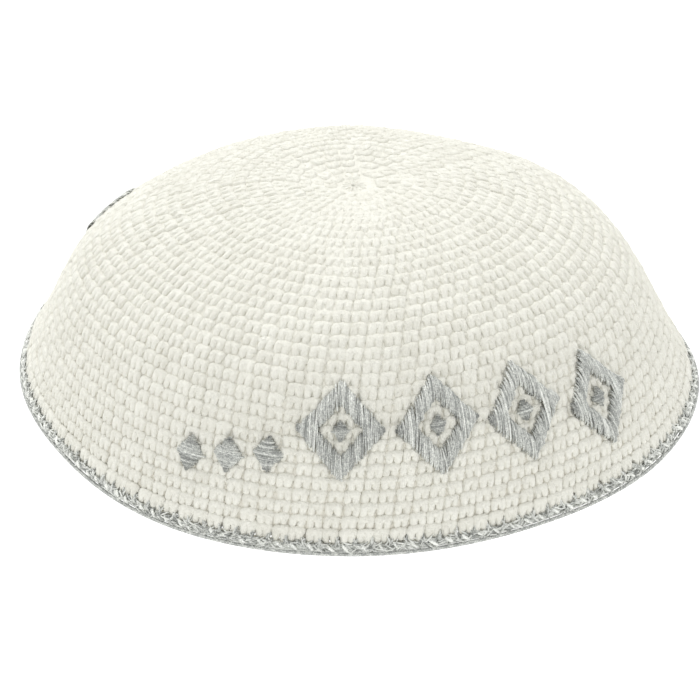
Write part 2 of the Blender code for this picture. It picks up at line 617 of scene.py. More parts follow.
def report(piece: bpy.types.Object, nodes: Sequence[str]) -> None:
    """Place a finished piece on the body and over its solids.

    Args:
        piece: the finished piece.
        nodes: the solids it stands for.
    """
    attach(piece, "root")
    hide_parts(*nodes)
    piece.data.calc_loop_triangles()
    LOG.info("%s: %d triangles", piece.name, len(piece.data.loop_triangles))


@dataclass(frozen=True)
class Bend:
    """A step that a strand takes and its radius at the step's end, in millimetres."""

    along: float
    down: float
    out: float
    radius: float


Path = tuple[Bend, ...]


def strand(sides: int, path: Path) -> Pattern:
    """Work a short strand along x on the bench.

    Args:
        sides: number of sides of the strand.
        path: the place of its start, then every step it takes.

    Returns:
        The strand, closed at both ends.
    """
    steps = [(bend.along * MM, bend.down * MM, bend.out * MM) for bend in path]
    radii = [bend.radius * MM for bend in path]
    places = np.cumsum(steps, axis=0)
    Bench.ring(sides, radii[0], steps[0], LYING)
    for i in range(1, len(path)):
        Bench.pull(steps[i], radii[i] / radii[i - 1], tuple(places[i]))
    Bench.close_ends()
    made = Bench.stop()
    x, y, z = np.array([tuple(v.co) for v in made.data.vertices]).T
    middle_y, middle_z = (np.interp(x, places[:, 0], places[:, axis]) for axis in (1, 2))
    turn = np.arctan2(z - middle_z, y - middle_y) / math.tau % 1.0
    return Pattern.taken_from(made, np.stack((turn, x / (2 * max(radii))), axis=-1))


class Socket:
    """A shader value that can be written in an expression."""

    def __init__(self, recipe: Recipe, link: bpy.types.NodeSocket) -> None:
        """Hold an output of one of the recipe's nodes."""
        self.recipe = recipe
        self.link = link

    def maths(self, operation: str, *values: Socket | float) -> Socket:
        """Add one Math node on the values."""
        inputs = dict(enumerate(values))
        return self.recipe.node("ShaderNodeMath", {"operation": operation}, inputs)

    def __add__(self, other: Socket | float) -> Socket:
        """Sum."""
        return self.maths("ADD", self, other)

    def __radd__(self, other: float) -> Socket:
        """Sum with a number on the left."""
        return self.maths("ADD", other, self)

    def __sub__(self, other: Socket | float) -> Socket:
        """Difference."""
        return self.maths("SUBTRACT", self, other)

    def __rsub__(self, other: float) -> Socket:
        """Difference from a number."""
        return self.maths("SUBTRACT", other, self)

    def __mul__(self, other: Socket | float) -> Socket:
        """Product."""
        return self.maths("MULTIPLY", self, other)

    def __rmul__(self, other: float) -> Socket:
        """Product with a number on the left."""
        return self.maths("MULTIPLY", other, self)

    def sine(self) -> Socket:
        """Sine of the value in radians."""
        return self.maths("SINE", self)

    def limited(self) -> Socket:
        """The value kept between nought and one."""
        return self.recipe.node("ShaderNodeClamp", {}, {"Value": self})


class Recipe:
    """The nodes of one material."""

    def __init__(self, name: str) -> None:
        """Begin a material with its shader.

        Args:
            name: the material's name.
        """
        self.material = bpy.data.materials.new(name)
        self.material.use_nodes = True
        self.tree = self.material.node_tree
        self.shader = self.tree.nodes["Principled BSDF"]

    def node(self, kind: str, settings: dict[str, Any], inputs: dict[Any, Any]) -> Socket:
        """Add a node.

        Args:
            kind: the node's type.
            settings: its settings, with a ramp's stops as pairs under the name stops.
            inputs: the values or links of its sockets, by name or number.

        Returns:
            Its first output that is in use.
        """
        made = self.tree.nodes.new(kind)
        for name, value in settings.items():
            if name == "stops":
                self.set_stops(made.color_ramp, value)
            else:
                setattr(made, name, value)
        for name, value in inputs.items():
            self.feed(made.inputs[name], value)
        used = [socket for socket in made.outputs if socket.enabled]
        return Socket(self, used[0])

    @staticmethod
    def set_stops(ramp: bpy.types.ColorRamp, stops: Sequence[tuple[float, Colour]]) -> None:
        """Give a ramp its stops.

        Args:
            ramp: the ramp.
            stops: place and colour of each stop.
        """
        while len(ramp.elements) < len(stops):
            ramp.elements.new(1.0)
        for element, (place, colour) in zip(ramp.elements, stops):
            element.position = place
            element.color = colour

    def feed(self, socket: bpy.types.NodeSocket, value: Any) -> None:
        """Link a socket, or set its value.

        Args:
            socket: the socket to feed.
            value: what to link it to, or its value.
        """
        if isinstance(value, Socket):
            self.tree.links.new(value.link, socket)
        else:
            socket.default_value = value

    def other(self, value: Socket, name: str) -> Socket:
        """Another output of the node that a value comes from."""
        return Socket(self, value.link.node.outputs[name])

    def attribute(self, name: str) -> Socket:
        """A number kept on the piece's own points."""
        read = self.node("ShaderNodeAttribute", {"attribute_name": name}, {})
        return self.other(read, "Fac")

    def strand(self) -> tuple[Socket, Socket]:
        """Read where a point lies on its strand.

        Returns:
            The place round the strand, in turns, and the place along it, in its widths.
        """
        read = self.node("ShaderNodeUVMap", {"uv_map": "strand"}, {})
        parts = self.node("ShaderNodeSeparateXYZ", {}, {"Vector": read})
        return self.other(parts, "X"), self.other(parts, "Y")

    def grain(self, scale: float, detail: float = 2.0) -> Socket:
        """Add noise through the piece's own space.

        Args:
            scale: number of grains to a metre.
            detail: how many finer grains lie on top.

        Returns:
            The noise.
        """
        where = self.node("ShaderNodeTexCoord", {}, {})
        inputs = {"Vector": self.other(where, "Object"), "Scale": scale, "Detail": detail}
        return self.node("ShaderNodeTexNoise", {}, inputs)

    def fibres(
        self, around: Socket, along: Socket, many: float, often: float, detail: float = 3.0
    ) -> Socket:
        """Add noise drawn out along a strand, with no seam round it.

        Args:
            around: place round the strand, in turns.
            along: place along it.
            many: how fine the noise is round the strand.
            often: how fine it is along the strand.
            detail: how many finer fibres lie on top.

        Returns:
            The noise.
        """
        turn = around * math.tau
        x, y = turn.sine() * many, (turn + math.pi / 2).sine() * many
        where = self.node("ShaderNodeCombineXYZ", {}, {"X": x, "Y": y, "Z": along * often})
        inputs = {"Vector": where, "Scale": 1.0, "Detail": detail}
        return self.node("ShaderNodeTexNoise", {}, inputs)

    def mixed(self, share: Socket, first: Colour | Socket, second: Colour | Socket) -> Socket:
        """Mix two colours.

        Args:
            share: how much of the second there is.
            first: a colour.
            second: another one.

        Returns:
            The colour between them.
        """
        inputs = {"Factor": share, COLOUR_A: first, COLOUR_B: second}
        return self.node("ShaderNodeMix", {"data_type": "RGBA"}, inputs)

    def bumped(self, height: Socket, depth: float) -> Socket:
        """Normal of a surface with a fine relief."""
        inputs = {"Height": height, "Distance": depth, "Strength": 1.0}
        return self.node("ShaderNodeBump", {}, inputs)

    def set(self, **values: Any) -> None:
        """Set or link the shader's sockets, named with low lines for spaces."""
        for name, value in values.items():
            self.feed(self.shader.inputs[name.replace("_", " ")], value)


@dataclass(frozen=True)
class CottonYarn:
    """Matt cream-white cotton, softly furred, with fibres that run along the yarn, and with shade
    painted into the deep gaps between stitches.
    """

    light: Colour = (0.875, 0.868, 0.79, 1.0)
    shade: Colour = (0.78, 0.768, 0.685, 1.0)
    # painted shade: the colour that points deep in the gaps between stitches are darkened towards
    painted_pit_shade: Colour = (0.76, 0.73, 0.64, 1.0)
    rough: float = 0.95
    sheen: float = 0.15
    sheen_rough: float = 0.5
    specular: float = 0.2
    plies: float = 3.0
    twist: float = 0.45
    relief: float = 0.26 * MM
    fibre_round: float = 1.9
    fibre_along: float = 1.1
    fur_grain: float = 4200.0
    fur_detail: float = 3.0
    clump_grain: float = 1500.0
    patch_grain: float = 90.0
    ply_height: float = 0.10
    fur_height: float = 0.8
    clump_height: float = 1.5
    fibre_tone: float = 0.9
    fur_tone: float = 0.8
    clump_tone: float = 1.5
    patch_tone: float = 0.6
    # painted shade: the depths where the darkening in the gaps begins and where it is full
    painted_shade_start: float = 0.45 * MM
    painted_shade_full: float = 1.25 * MM

    def make(self) -> bpy.types.Material:
        """Make the material.

        Returns:
            The cotton, with painted shade: its colour darkens where a point's depth says that it
                lies deep in a gap between stitches.
        """
        recipe = Recipe("white_cotton")
        around, along = recipe.strand()
        plies = (math.tau * (around * self.plies + along * self.twist)).sine()
        fibres = recipe.fibres(around, along, self.fibre_round, self.fibre_along)
        fur = recipe.grain(self.fur_grain, self.fur_detail)
        clump = recipe.grain(self.clump_grain)
        patch = recipe.grain(self.patch_grain)
        height = plies * self.ply_height + fibres
        height = height + fur * self.fur_height + clump * self.clump_height
        tone = recipe.attribute("tone") + (patch - 0.5) * self.patch_tone
        tone = tone + (clump - 0.5) * self.clump_tone
        tone = (tone + (fur - 0.5) * self.fur_tone + (fibres - 0.5) * self.fibre_tone).limited()
        yarn = recipe.mixed(tone, self.shade, self.light)
        # painted shade: deeper points are mixed towards the darker gap colour
        slope = 1 / (self.painted_shade_full - self.painted_shade_start)
        painted_shade_share = ((recipe.attribute("depth") - self.painted_shade_start) * slope).limited()
        recipe.set(
            Base_Color=recipe.mixed(painted_shade_share, yarn, self.painted_pit_shade),
            Roughness=self.rough,
            Normal=recipe.bumped(height, self.relief),
            Sheen_Weight=self.sheen,
            Sheen_Roughness=self.sheen_rough,
            Specular_IOR_Level=self.specular,
        )
        return recipe.material


@dataclass(frozen=True)
class SilverThread:
    """Thin metallic thread with painted glints: at its highest tones its colour turns to a
    near-white painted highlight, at random spots.
    """

    # painted glint: the near-white colour that the highest tones turn to
    bright: Colour = (0.98, 0.995, 0.94, 1.0)
    grey: Colour = (0.69, 0.705, 0.665, 1.0)
    dark: Colour = (0.35, 0.362, 0.345, 1.0)
    metallic: float = 0.30
    rough: float = 0.38
    windings: float = 2.0
    ribbon: float = 1.6
    relief: float = 0.08 * MM
    glint_grain: float = 4200.0
    streak_round: float = 0.75
    streak_along: float = 0.55
    winding_height: float = 0.5
    glint_height: float = 1.5
    # how much the glint noise moves the tone, and so where the painted glints fall
    painted_glint_tone: float = 1.7
    streak_tone: float = 1.6
    dark_to: float = 0.12
    grey_from: float = 0.52
    painted_glint_from: float = 0.60
    painted_glint_slope: float = 3.0

    def make(self) -> bpy.types.Material:
        """Make the material.

        Returns:
            The silver, from dark through grey as its tone rises, then into a near-white painted
            glint at the highest tones.
        """
        recipe = Recipe("silver_thread")
        around, along = recipe.strand()
        wound = (math.tau * (around * self.windings + along * self.ribbon)).sine()
        glint = recipe.grain(self.glint_grain)
        streak = recipe.fibres(around, along, self.streak_round, self.streak_along)
        tone = recipe.attribute("tone") + (glint - 0.5) * self.painted_glint_tone
        tone = tone + (streak - 0.5) * self.streak_tone
        stops = ((self.dark_to, self.dark), (self.grey_from, self.grey))
        colour = recipe.node("ShaderNodeValToRGB", {"stops": stops}, {"Fac": tone.limited()})
        # painted glint: tones above the threshold are mixed towards near-white
        painted_glint = ((tone - self.painted_glint_from) * self.painted_glint_slope).limited()
        height = wound * self.winding_height + glint * self.glint_height
        recipe.set(
            Base_Color=recipe.mixed(painted_glint, colour, self.bright),
            Metallic=self.metallic,
            Roughness=self.rough,
            Normal=recipe.bumped(height, self.relief),
        )
        return recipe.material


@dataclass(frozen=True)
class Paper:
    """The plain white surface that the cap rests on."""

    colour: Colour = (0.06, 0.06, 0.06, 1.0)
    rough: float = 0.9
    glow: float = 1.25
    fleck_grain: float = 400.0
    fleck: float = 0.02

    def make(self) -> bpy.types.Material:
        """Make the material.

        Returns:
            The paper, which glows so that it stays white.
        """
        recipe = Recipe("white_paper")
        flecks = recipe.grain(self.fleck_grain) * self.fleck
        recipe.set(
            Base_Color=recipe.mixed(flecks, self.colour, WHITE),
            Roughness=self.rough,
            Emission_Color=WHITE,
            Emission_Strength=self.glow,
        )
        return recipe.material


@dataclass
class Rounds:
    """The rounds of stitches that the whole cap is counted in."""

    dome: Dome
    number: int = 34
    stitch_width: float = 3.57 * MM
    least: int = 6
    counted_at: float = 0.7
    lean: float = 0.10
    foot_lean: float = 0.8
    loose_rounds: int = 14
    climb: float = 0.97
    stray: float = 0.045
    tone: float = 0.60
    spread: Spread = Spread(wide=0.03, tall=0.045, lift=0.06 * MM, lean=0.06, tone=0.12)
    seed: int = 18

    @property
    def pitch(self) -> float:
        """Height of a round along the cotton."""
        return self.dome.length / self.number

    def stitches(self, k: int) -> int:
        """Count the stitches of a round.

        Args:
            k: the round's number, from 0 at the crown.

        Returns:
            Their number.
        """
        way = (k + self.counted_at) / self.number
        reach = float(self.dome.along(self.dome.profile[0], way))
        return max(self.least, round(math.tau * reach / self.stitch_width))

    def spots(self) -> Spots:
        """Place all the stitches, from the crown to the rim.

        Returns:
            One spot for each stitch, with the small unevenness of hand work.
        """
        chance = np.random.default_rng(self.seed)
        distance, bearing, turn = [], [], []
        for k in range(self.number):
            count = self.stitches(k)
            step = math.tau / count
            loose = chance.uniform(-0.5, 0.5) * max(0.0, 1 - k / self.loose_rounds)
            here = FRONT + (np.arange(count) + loose - self.lean * k) * step
            share = (here - BACK) / math.tau % 1.0
            drift = (1 - k / (self.number - 1)) * (share if k else 0.0)
            distance.append((k + 0.5 + drift * self.climb) * self.pitch * np.ones(count))
            bearing.append(here)
            turn.append(np.full(count, step / self.stitch_width))
        columns = (np.concatenate(values) for values in (distance, bearing, turn))
        spots = Spots.even(*columns, self.tone)
        shift = chance.normal(0.0, self.stray, len(spots)) * self.pitch
        spots.bearing = spots.bearing + shift * spots.turn
        spots.lean = spots.lean - self.lean * self.foot_lean
        return spots.loosened(self.spread, chance)


@dataclass
class CottonCap:
    """The crocheted dome: stitches outside, the web between, and their wrong side inside."""

    rounds: Rounds
    material: bpy.types.Material
    ridge: Path = (
        Bend(-1.97, -0.25, -1.30, 0.55),
        Bend(0.57, -0.11, 0.10, 0.86),
        Bend(1.40, -0.21, 0.10, 1.04),
        Bend(1.40, 0.02, -0.10, 0.90),
        Bend(0.57, 0.07, -0.10, 0.60),
    )
    leg: Path = (
        Bend(-1.42, 0.0, -1.46, 0.60),
        Bend(0.38, 0.0, 0.36, 0.90),
        Bend(0.70, 0.0, 0.10, 0.98),
        Bend(0.80, 0.0, -0.06, 0.96),
        Bend(0.75, 0.0, -0.18, 0.88),
        Bend(0.80, 0.0, -0.36, 0.66),
    )
    bar: Path = (
        Bend(-1.55, -0.45, -1.75, 0.336),
        Bend(0.775, -0.05, -0.30, 0.56),
        Bend(1.55, 0.0, 0.0, 0.56),
        Bend(0.775, 0.05, 0.30, 0.336),
    )
    slant: Path = (
        Bend(-0.95, 0.25, -1.80, 0.35),
        Bend(0.65, 0.35, -0.12, 0.50),
        Bend(0.95, 0.55, 0.12, 0.35),
    )
    stitch_sides: int = 7
    bar_sides: int = 5
    flat: float = 0.72
    last_thick: float = 0.65
    leg_apart: float = 1.62 * MM
    leg_stray: float = 0.07 * MM
    leg_slide: float = 5.0
    leg_spread: Spread = Spread(wide=0.05, tall=0.03, lift=0.035 * MM, tone=0.12, slide=0.0)
    web_outer: float = 0.82 * MM
    web_inner: float = 1.75 * MM
    web_margin: float = 0.25 * MM
    web_steps: int = 144
    eye: float = 0.2 * MM
    fill: float = 0.36 * MM
    coil_sides: int = 8
    coil_steps: int = 16
    coil_thick: float = 0.40 * MM
    coil_radius: float = 0.78 * MM
    coil_depth: float = 0.50 * MM
    # painted shade: the coil at the crown's eye takes the darkest cotton tone, to stand for the
    # shade inside the small hole
    coil_painted_shade_tone: float = 0.0

    def legs_of(self, spots: Spots, side: float) -> Spots:
        """Place the left or the right legs of some stitches, each a little uneven.

        Args:
            spots: the stitches.
            side: -1 for the left legs, 1 for the right ones.

        Returns:
            One spot for each leg.
        """
        n = len(spots)
        chance = np.random.default_rng(int(n + side))
        shift = side * self.leg_apart / 2 + chance.normal(0.0, self.leg_stray, n)
        bearing = spots.bearing + shift * spots.turn
        slide = spots.slide + self.leg_slide * side
        legs = replace(spots, bearing=bearing, wide=np.ones(n), slide=slide)
        return legs.loosened(self.leg_spread, chance)

    def coil(self) -> Pattern:
        """Work the small coil of yarn that the first round is worked into.

        Returns:
            The coil.
        """
        place = (self.coil_radius, 0.0, -self.coil_depth)
        made = Bench.hoop(self.coil_sides, self.coil_thick, place, self.coil_steps)
        return Pattern.taken_from(made)

    def web(self) -> Pattern:
        """Work the dense middle of the cotton, turned about the crown's eye.

        Returns:
            The web, its outer face raised towards the crown.
        """
        far = self.rounds.dome.length - self.web_margin
        size = far - self.eye
        Bench.start()
        bpy.ops.mesh.primitive_plane_add(
            size=1.0,
            location=(self.eye + size / 2, 0.0, -(self.web_outer + self.web_inner) / 2),
            rotation=STANDING,
        )
        bpy.context.object.scale = (size, self.web_inner - self.web_outer, 1.0)
        bpy.ops.object.transform_apply(location=True, rotation=True, scale=True)
        bpy.ops.object.mode_set(mode="EDIT")
        bpy.ops.mesh.select_all(action="SELECT")
        bpy.ops.mesh.delete(type="ONLY_FACE")
        bpy.ops.object.mode_set(mode="OBJECT")
        mesh = bpy.context.object.data
        for edge in mesh.edges:
            ends = [mesh.vertices[i].co for i in edge.vertices]
            edge.select = abs(ends[0].x - ends[1].x) > size / 2
        bpy.ops.object.mode_set(mode="EDIT")
        bpy.ops.mesh.select_mode(type="EDGE")
        bpy.ops.mesh.subdivide(number_cuts=self.rounds.number)
        bpy.ops.mesh.select_all(action="SELECT")
        Bench.turn(self.web_steps)
        made = Pattern.taken_from(Bench.stop())
        x, y, z = made.points.T
        near = 1 - np.hypot(x, y) / far
        made.points[:, 2] += np.where(z > -self.web_inner / 2, near, 0) * self.fill
        return made

    def zones(self, spots: Spots, names: Sequence[str]) -> Iterator[tuple[str, Spots]]:
        """Share the stitches among pieces, round by round, from the crown outwards.

        Args:
            spots: all the stitches.
            names: the names of the pieces.

        Yields:
            Each name with its stitches.
        """
        ordered = np.sort(spots.distance)
        cuts = [ordered[len(ordered) * i // len(names)] for i in range(1, len(names))]
        zone = np.searchsorted(np.array(cuts), spots.distance, side="right")
        for i, name in enumerate(names):
            yield name, spots.some(zone == i)

    def build(self) -> None:
        """Make every piece of the cotton cap."""
        spots = self.rounds.spots()
        last = spots.distance > self.rounds.dome.length - self.rounds.pitch
        spots.thick = np.where(last, self.last_thick, spots.thick)
        ridge = strand(self.stitch_sides, self.ridge).flattened(self.flat)
        leg = strand(self.stitch_sides, self.leg).upright().flattened(self.flat)
        for name, part in self.zones(spots, ("crown_stitches", "side_stitches", "rim_stitches")):
            sides = ((leg, self.legs_of(part, side)) for side in (-1.0, 1.0))
            self.piece(name, [(ridge, part), *sides])
        inside = [strand(self.bar_sides, path) for path in (self.bar, self.slant)]
        for name, part in self.zones(spots, ("crown_wrong_side", "rim_wrong_side")):
            self.piece(name, [(pattern, part) for pattern in inside])
        web = Cloth(self.rounds.dome)
        web.lay_round(self.web(), MIDDLE_TONE)
        # painted shade: the coil is laid in the darkest tone
        web.lay_round(self.coil(), self.coil_painted_shade_tone)
        report(web.cut("cotton_web", self.material), ["crocheted_cap"])

    def piece(self, name: str, laid: Sequence[tuple[Pattern, Spots]]) -> None:
        """Make one piece of many stitches.

        Args:
            name: the piece's name.
            laid: the patterns, each with the spots where it goes.
        """
        cloth = Cloth(self.rounds.dome)
        for pattern, spots in laid:
            cloth.lay(pattern, spots)
        report(cloth.cut(name, self.material), ["crocheted_cap"])


@dataclass(frozen=True)
class Cord:
    """A round bar of silver that follows the rim, so far below the cotton."""

    radius: float
    drop: float
    lift: float
    steps: int
    tone: float
    sides: int = 8


@dataclass
class SilverEdging:
    """The round of silver thread worked into the rim."""

    rounds: Rounds
    material: bpy.types.Material
    thread: Path = (
        Bend(-1.10, 0.0, -0.54, 0.102),
        Bend(0.45, 0.0, 0.42, 0.170),
        Bend(0.65, 0.0, 0.12, 0.187),
        Bend(0.65, 0.0, -0.12, 0.170),
        Bend(0.45, 0.0, -0.42, 0.102),
    )
    link: Path = (
        Bend(-1.10, 0.0, -0.52, 0.2145),
        Bend(0.40, 0.0, 0.40, 0.330),
        Bend(0.70, 0.0, 0.12, 0.363),
        Bend(0.70, 0.0, -0.12, 0.330),
        Bend(0.40, 0.0, -0.40, 0.2145),
    )
    thread_sides: int = 5
    link_sides: int = 7
    number: int = 460
    thread_slopes: tuple[float, ...] = (-38.0, -12.0, 12.0, 38.0)
    tuft_slopes: tuple[float, ...] = (70.0, -75.0)
    link_slope: float = 42.0
    strewn: tuple[float, float] = (0.30 * MM, 2.05 * MM)
    tufts_each: int = 3
    tuft_drop: tuple[float, float] = (-0.35 * MM, 0.75 * MM)
    tuft_stray: float = 0.05
    tuft_tall: float = 0.8
    link_drop: float = 1.25 * MM
    link_drop_spread: float = 0.12 * MM
    link_stray: float = 0.08
    # painted glint: the links' tones lie high, where the silver turns to its painted highlight
    link_painted_glint_tone: float = 1.0
    link_painted_glint_spread: float = 0.15
    link_painted_glint_range: tuple[float, float] = (0.6, 1.2)
    # painted glint: most loose threads lie above the tone where the silver's painted glint begins
    tone: float = 0.72
    spread: Spread = Spread(wide=0.15, tall=0.15, lift=0.10 * MM, tone=0.30, tones=(0.2, 1.1))
    cords: tuple[Cord, ...] = (
        Cord(1.10 * MM, 1.45 * MM, -1.45 * MM, 144, 0.58),
        Cord(0.42 * MM, 2.60 * MM, -0.22 * MM, 272, 0.32),
        Cord(0.50 * MM, 1.72 * MM, -1.92 * MM, 144, 0.45),
    )
    seed: int = 7

    def cord(self, cord: Cord) -> Pattern:
        """Work one of the round bars.

        Args:
            cord: its sizes.

        Returns:
            The bar, turned about the cap's axis.
        """
        place = (self.rounds.dome.length + cord.drop, 0.0, cord.lift)
        made = Bench.hoop(cord.sides, cord.radius, place, cord.steps)
        x, y, z = np.array([tuple(v.co) for v in made.data.vertices]).T
        turn = np.arctan2(z - cord.lift, np.hypot(x, y) - place[0]) / math.tau % 1.0
        along = np.arctan2(y, x) * place[0] / (2 * cord.radius)
        return Pattern.taken_from(made, np.stack((turn, along), axis=-1))

    def scattered(self, chance: np.random.Generator) -> Spots:
        """Find uneven places all round the edging.

        Args:
            chance: where the unevenness comes from.

        Returns:
            The places of some loose threads.
        """
        drop = chance.uniform(*self.strewn, self.number)
        return self.loose(drop, chance.uniform(0.0, math.tau, self.number), chance)

    def loose(self, drop: Array, bearing: Array, chance: np.random.Generator) -> Spots:
        """Make uneven spots so far below the cotton.

        Args:
            drop: how far below the last round each lies.
            bearing: bearing of each.
            chance: where the unevenness comes from.

        Returns:
            The spots.
        """
        distance = self.rounds.dome.length + drop
        turn = 1 / self.rounds.dome.reach(distance, bearing)
        return Spots.even(distance, bearing, turn, self.tone).loosened(self.spread, chance)

    def last_round(self, shift: float) -> tuple[Array, float]:
        """Find where the last white stitches are.

        Args:
            shift: how far past each stitch to go, as a share of a stitch.

        Returns:
            A bearing for each stitch, and the step from one to the next.
        """
        count = self.rounds.stitches(self.rounds.number - 1)
        step = math.tau / count
        shift = shift - self.rounds.lean * self.rounds.number
        return FRONT + (np.arange(count) + shift) * step, step

    def tufts(self, chance: np.random.Generator) -> Spots:
        """Find places in the pockets between the last white stitches.

        Args:
            chance: where the unevenness comes from.

        Returns:
            The places of some loose threads.
        """
        pocket, step = self.last_round(0.5)
        n = self.tufts_each * len(pocket)
        bearing = np.tile(pocket, self.tufts_each) + chance.normal(0.0, self.tuft_stray, n) * step
        spots = self.loose(chance.uniform(*self.tuft_drop, n), bearing, chance)
        turn = np.full(n, step / self.rounds.stitch_width)
        return replace(spots, turn=turn, tall=spots.tall * self.tuft_tall)

    def links(self, chance: np.random.Generator) -> Spots:
        """Place the thick loops, one under each last white stitch; their high tones give them
        painted glints.

        Args:
            chance: where the unevenness comes from.

        Returns:
            The places of the links.
        """
        bearing, step = self.last_round(0.0)
        n = len(bearing)
        bearing = bearing + chance.normal(0.0, self.link_stray, n) * step
        drop = chance.normal(self.link_drop, self.link_drop_spread, n)
        spots = self.loose(drop, bearing, chance)
        tone = np.clip(chance.normal(self.link_painted_glint_tone, self.link_painted_glint_spread, n), *self.link_painted_glint_range)
        return replace(spots, turn=np.full(n, step / self.rounds.stitch_width), tone=tone)

    def build(self) -> None:
        """Make every piece of the edging."""
        chance = np.random.default_rng(self.seed)
        names = ("edging_threads", "edging_tufts", "edging_links", "edging_cord")
        pieces = {name: Cloth(self.rounds.dome) for name in names}
        threads, tufts, links, cords = pieces.values()
        for slope in self.thread_slopes:
            threads.lay(self.sloping(self.thread, slope), self.scattered(chance))
        for slope in self.tuft_slopes:
            tufts.lay(self.sloping(self.thread, slope), self.tufts(chance))
        links.lay(self.sloping(self.link, self.link_slope), self.links(chance))
        for cord in self.cords:
            cords.lay_round(self.cord(cord), cord.tone)
        for name, cloth in pieces.items():
            report(cloth.cut(name, self.material), ["silver_edging"])

    def sloping(self, path: Path, slope: float) -> Pattern:
        """A strand that slopes against the rim, by so many degrees."""
        sides = self.link_sides if path is self.link else self.thread_sides
        return strand(sides, path).turned(math.radians(slope))


class Figure(Enum):
    """Shapes that the satin stitching fills."""

    DIAMOND = "diamond"
    LOZENGE = "lozenge"
    CORE = "core"


@dataclass(frozen=True)
class FigureSize:
    """Full width, height and band of a figure; no band where it is stitched all over."""

    width: float
    height: float
    band: float = 0.0
    upright: bool = False


@dataclass(frozen=True)
class Run:
    """Figures of one shape side by side, each by the way of its middle."""

    figure: Figure
    ways: tuple[float, ...]


@dataclass(frozen=True)
class FigureRow:
    """A row of figures: its name, the bearing it starts at, its figures and how high they rise."""

    name: str
    start: float
    runs: tuple[Run, ...]
    rise: float


